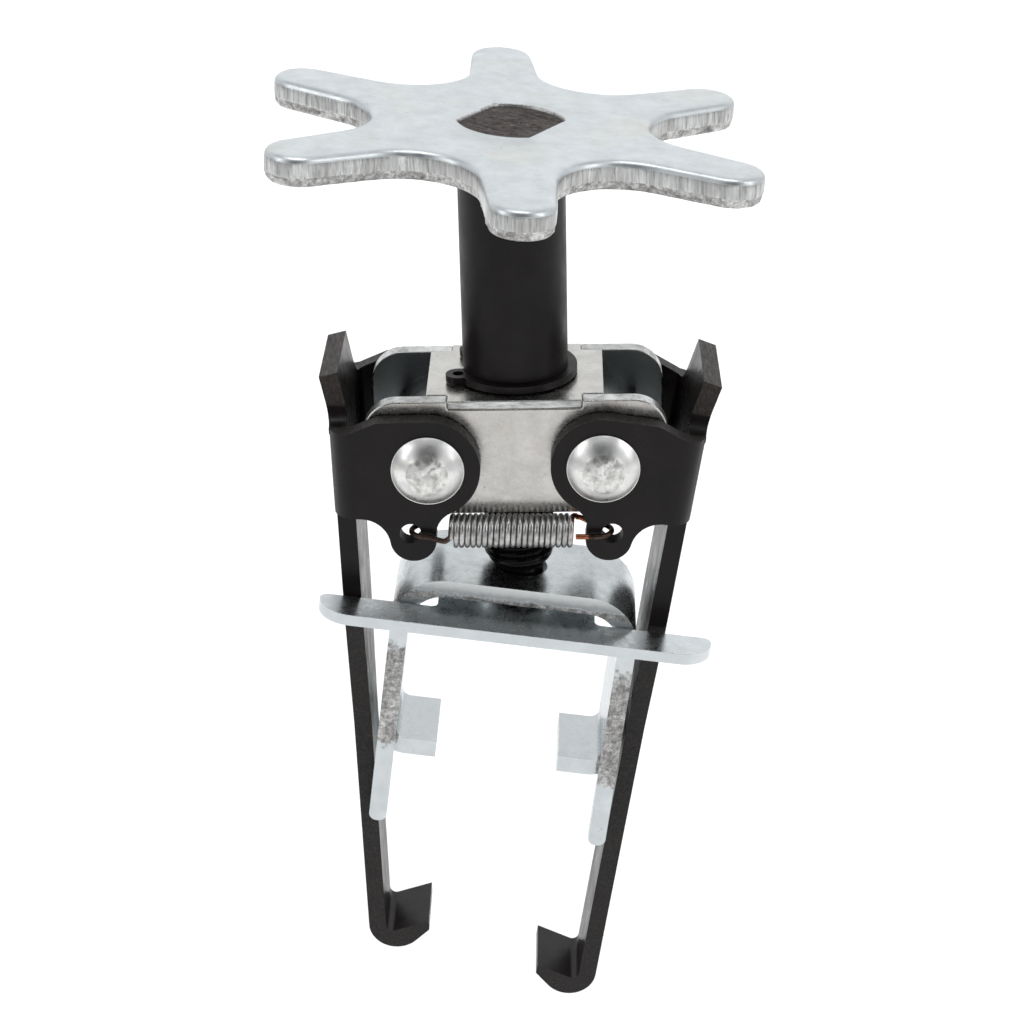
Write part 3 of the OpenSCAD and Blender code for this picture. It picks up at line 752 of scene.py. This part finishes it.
def make_yoke():
    """Side plates, bridge and spacer tubes. A plate's inner face gets zinc painted darker: painted shade
    standing in for the dark inside it mirrors.
    """
    inner = abs(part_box("yoke_front_plate")[1].y) + 0.3 * MM

    def plate_rule(centre, normal):
        if abs(normal.y) > 0.9:
            # inner faces between the plates take the darker zinc, painted shade
            return 2 if abs(centre.y) < inner else 0
        return 1 if abs(normal.y) < 0.2 else 0

    for name in ("yoke_front_plate", "yoke_back_plate"):
        piece = rounded_copy(name, name + "_steel", ("plate", "plate_edge", "inside"), 0.45, 4)
        finish_faces(piece, plate_rule)
        place(piece, "yoke", name)
    bridge = rounded_copy("bridge_plate", "bridge_plate_steel", ("plate", "plate_edge"), 0.25)
    finish_faces(bridge, lambda centre, normal: 0 if abs(normal.z) > 0.5 else 1)
    place(bridge, "yoke", "bridge_plate")
    for name in ("spacer_left", "spacer_right"):
        place(rounded_copy(name, name + "_tube", ("spacer",), 0.2), "yoke", name)


RIVET_R = 4.0
HEAD_R = 6.0
HEAD_H = 2.8
HEAD_STEPS = 12
HAMMERED_R = 0.62 * HEAD_R
HAMMERED_RINGS = 7


def head_profile():
    """Half of a rivet's head, from its pole out and back to the shank: (radius, height)."""
    dome = (HEAD_R ** 2 + HEAD_H ** 2) / (2 * HEAD_H)
    points = [(0.0, HEAD_H)]
    for step in range(1, HEAD_STEPS + 1):
        radius = HEAD_R * 0.985 * step / HEAD_STEPS
        points.append((radius, math.sqrt(dome ** 2 - radius ** 2) - dome + HEAD_H))
    return points + [(HEAD_R, 0.10), (HEAD_R - 0.12, 0.0), (RIVET_R, 0.0)]


def make_rivet(side):
    """Shank and two hammered heads in one closed surface round the pivot."""
    low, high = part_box("rivet_" + side)
    reach = (high.y - low.y) / (2 * MM)
    head_y = reach - HEAD_H
    half = head_profile()
    profile = [(r, -(head_y + h)) for r, h in half] + [(r, head_y + h) for r, h in reversed(half)]
    other_end = len(profile) - 2 - HAMMERED_RINGS

    def to_world(radius, angle, height):
        blow = 0.0
        if radius < HAMMERED_R and abs(height) > head_y:
            spot = Vector((radius * math.cos(angle), radius * math.sin(angle), height * 3))
            blow = -0.20 + 0.26 * noise.noise(spot * 0.8) + 0.10 * noise.noise(spot * 2.4)
            blow = min(blow * min(1.0, (HAMMERED_R - radius) / 0.7), 0.0)
        y = height + math.copysign(blow, height)
        return PIVOT[side] + Vector((radius * math.cos(angle), y, radius * math.sin(angle))) * MM

    bm = bmesh.new()
    lathe(bm, profile, 56, to_world, lambda index: int(index < HAMMERED_RINGS or index > other_end))
    piece = new_object("rivet_%s_headed" % side, mesh_from(bm, "rivet_" + side), "rivet", "rivet_face")
    place(piece, "pivot_" + side, "rivet_" + side)


# ---- jaws ----

LEAN = {"left": math.radians(0.8), "right": math.radians(9.5)}
EAR_FROM = 9.2                          # heights in the jaw's own frame, in mm from its pivot
STRAP_FROM = -20
CHEEK_INNER_Y = 12.3


def in_jaw(side, point):
    """A point in the jaw's own frame, in mm from its pivot: x outwards, z up."""
    sign = OUTWARDS[side]
    x, y, z = (point - PIVOT[side]) / MM
    c, s = math.cos(LEAN[side]), math.sin(LEAN[side])
    return Vector((sign * x * c - z * s, y, sign * x * s + z * c))


def make_jaw(side):
    """A jaw with its ear's, cheeks' and strap's cut edges in finishes of their own."""
    name = "jaw_" + side

    def rule(centre, normal):
        at = in_jaw(side, centre)
        if at.z > EAR_FROM:
            return 0 if abs(normal.x) > 0.75 else 2
        if at.z > STRAP_FROM:
            return 0 if abs(normal.y) > 0.5 or abs(at.y) < CHEEK_INNER_Y else 1
        return 1 if abs(normal.y) > 0.8 else 0

    piece = rounded_copy(name, name + "_plate", ("jaw", "jaw_edge", "ear_edge"), 0.40, 4)
    finish_faces(piece, rule)
    place(piece, name, name)


# ---- spring ----

LUG_HOLE = (3.35, -11.45)
COIL_R = 2.45
WIRE_R = 0.45
BODY_LEN = 20.0
TURNS = 21.25
STEPS_A_TURN = 28
STILL = BODY_LEN / 8                    # coils from the middle that a jaw's opening leaves alone
LOOP_R = 2.4
LOOP_IN = 2.5
UNWOUND = {"left": 0.35, "right": 0.9}  # last part of the coil that leads off into the hook, in radians
LOOP_SIDE = {"left": -1, "right": 1}    # side of the lug, in y, on which the loop starts
TAIL_RISE = {"left": 0.9, "right": 0.0}
LEFT_TAIL = 2.1
# length of the right hook's wire past the coil that is painted orange, a painted reflection
PAINTED_REFLECTION_LEN = 2.6


def lug_eye(side):
    """Centre of the spring's hole in a jaw's front lug."""
    x, z = LUG_HOLE
    c, s = math.cos(LEAN[side]), math.sin(LEAN[side])
    low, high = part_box("jaw_spring")
    return Vector((PIVOT[side].x + OUTWARDS[side] * (x * c + z * s) * MM, (low.y + high.y) / 2,
                   PIVOT[side].z + (-x * s + z * c) * MM))


def coil_turn(side, x):
    """Angle of the wire round the spring at x mm out from the middle, on one side."""
    return (OUTWARDS[side] * x - BODY_LEN / 2) * 2 * math.pi * TURNS / BODY_LEN


def coil_points(side, start, stop):
    steps = int((stop - start) * TURNS / BODY_LEN * STEPS_A_TURN)
    for i in range(steps + 1):
        x = start + (stop - start) * i / steps
        turn = coil_turn(side, x)
        yield x, COIL_R * math.sin(turn), COIL_R * math.cos(turn)


def hook_points(side, reach):
    """From the coil's end off its rim, round the loop through the lug, and back along a straight tail."""
    half = BODY_LEN / 2
    loop_x = reach - LOOP_IN
    face = LOOP_SIDE[side]
    path = []
    for i in range(1, 10):
        a = coil_turn(side, half) + OUTWARDS[side] * UNWOUND[side] * i / 9
        path.append(Vector((half + 0.10 * i, COIL_R * math.sin(a), COIL_R * math.cos(a))))
    bend_from, begin = path[-1], Vector((loop_x, face * LOOP_R, 0))
    for i in range(1, 11):
        t = i / 11
        eased = t * t * (3 - 2 * t)
        path.append(Vector((bend_from.x + (begin.x - bend_from.x) * t,
                            bend_from.y + (begin.y - bend_from.y) * eased,
                            bend_from.z * (1 - eased))))
    for i in range(25):
        a = math.pi / 2 - math.pi * i / 24
        path.append(Vector((loop_x + LOOP_R * math.cos(a), face * LOOP_R * math.sin(a), 0)))
    tail = LEFT_TAIL if side == "left" else loop_x - half - 0.6
    for i in range(1, 6):
        path.append(Vector((loop_x - tail * i / 5, -face * LOOP_R, TAIL_RISE[side] * (i / 5) ** 2)))
    return path


def make_spring_half(side):
    """Half the coil and its hook. The inner coils follow the pivot, the outer ones the jaw."""
    left, right = lug_eye("left"), lug_eye("right")
    middle = (left + right) / 2
    along = (right - left).normalized()
    across = Vector((0, 1, 0))
    up = along.cross(across)
    half = BODY_LEN / 2
    pivot, jaw = "pivot_" + side, "jaw_" + side

    def at(x, y, z):
        return middle + (along * (OUTWARDS[side] * x) + across * y + up * z) * MM

    inner = [at(*point) for point in coil_points(side, 0, STILL)]
    outer = [at(*point) for point in coil_points(side, STILL, half)]
    hook = [at(*point) for point in hook_points(side, (right - left).length / (2 * MM))]
    for part, points, body_a, body_b, start, end in (
            ("inner", inner, "yoke", pivot, at(0, 0, 0), at(STILL, 0, 0)),
            ("outer", outer + hook, pivot, jaw, at(STILL, 0, 0), at(half, 0, 0))):
        bm = tube(points, WIRE_R * MM)
        for face in bm.faces:
            past_coil = (face.calc_center_median() - middle).dot(along) * OUTWARDS[side] / MM - half
            if past_coil > 0.1:
                # the right wire's first stretch past the coil takes the painted orange reflection
                face.material_index = 2 if side == "right" and past_coil < PAINTED_REFLECTION_LEN else 1
        name = "spring_%s_%s_coils" % (side, part)
        piece = new_object(name, mesh_from(bm, name), "wire", "hook", "painted_orange_reflection")
        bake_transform(piece, body_a, body_b, start=start, end=end)
        yield piece


def make_spring():
    """The extension spring between the jaws' front lugs, in four blended pieces."""
    pieces = [piece for side in SIDES for piece in make_spring_half(side)]
    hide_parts("jaw_spring")


# ---- screw, saddle and slide bar ----

PITCH = 1.25
SCREW_R = 6.0
THREAD_DEPTH = 0.72
ROOT_R = 5.3                            # where the thread fades out at its two ends
SWIVEL_R = 4.0
SIDES_ROUND = 40
ROWS_A_TURN = 7
SADDLE_TOP = SWIVEL.z / MM + 1.55       # the saddle's upper face on the screw's axis


def thread_radius(angle, z):
    """Radius of a right-hand M12 thread at an angle and height: flat crests and roots, sloped flanks."""
    phase = (z / PITCH - angle / (2 * math.pi)) % 1.0
    ridge = abs(phase - 0.5) * 2
    return SCREW_R - THREAD_DEPTH * min(max((ridge - 0.12) / 0.66, 0.0), 1.0)


def screw_ring(bm, radius_at, z):
    """A ring round the screw's axis, with a radius for each angle, in mm."""
    angles = [2 * math.pi * k / SIDES_ROUND for k in range(SIDES_ROUND)]
    return [bm.verts.new(Vector((radius_at(a) * math.cos(a), radius_at(a) * math.sin(a), z)) * MM)
            for a in angles]


def make_screw():
    """The screw with its swivel end through the saddle, and the washer that holds it there."""
    low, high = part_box("pressure_screw")
    foot, stop = low.z / MM, high.z / MM
    start = SADDLE_TOP + 1.9
    rows = int((stop - start) / PITCH * ROWS_A_TURN)
    bm = bmesh.new()
    swivel_end = [(3.4, foot), (SWIVEL_R, foot + 0.5), (SWIVEL_R, SADDLE_TOP + 0.75),
                  (4.5, SADDLE_TOP + 0.75), (5.0, start - 0.1)]
    rings = [screw_ring(bm, lambda a, r=radius: r, z) for radius, z in swivel_end]
    for row in range(rows + 1):
        z = start + (stop - start) * row / rows
        fade = max(min(1.0, (z - start) / 1.2, (stop - z) / 1.5), 0.0)
        rings.append(screw_ring(bm, lambda a: ROOT_R + (thread_radius(a, z) - ROOT_R) * fade, z))
    bridge_rings(bm, rings)
    bm.faces.new(rings[0])
    bm.faces.new(rings[-1])
    mesh = mesh_from(bm, "pressure_screw_threaded", math.radians(60))
    place(new_object("pressure_screw_threaded", mesh, "thread"), "screw", "pressure_screw")
    washer = rounded_copy("screw_washer", "screw_washer_ring", ("rivet",), 0.15)
    place(washer, "screw", "screw_washer")


LEG_EDGE_Y = 9.2 * MM
TABS_FROM = 25                          # mm down the legs


def make_saddle():
    """The forked saddle: its cut edges face the front and the back."""
    def rule(centre, normal):
        by_tabs = (centre - SWIVEL).dot(LEG_DOWN) / MM > TABS_FROM
        if abs(normal.y) > 0.7:
            return 1 if abs(centre.y) > LEG_EDGE_Y or by_tabs else 0
        return 2 if by_tabs else 0

    piece = rounded_copy("saddle", "saddle_fork", ("saddle", "leg_edge", "tab"), 0.45, 4)
    finish_faces(piece, rule)
    place(piece, "saddle", "saddle")


def make_bar():
    piece = rounded_copy("slide_bar", "slide_bar_plate", ("bar", "bar_edge"), 0.55, 4)
    finish_faces(piece, lambda centre, normal: 0 if abs(normal.dot(LEG_DOWN)) > 0.6 else 1)
    place(piece, "slide_bar", "slide_bar")


make_star()
make_sleeve()
make_sleeve_end()
make_circlip()
make_yoke()
for side_name in SIDES:
    make_rivet(side_name)
    make_jaw(side_name)
make_spring()
make_screw()
make_saddle()
make_bar()
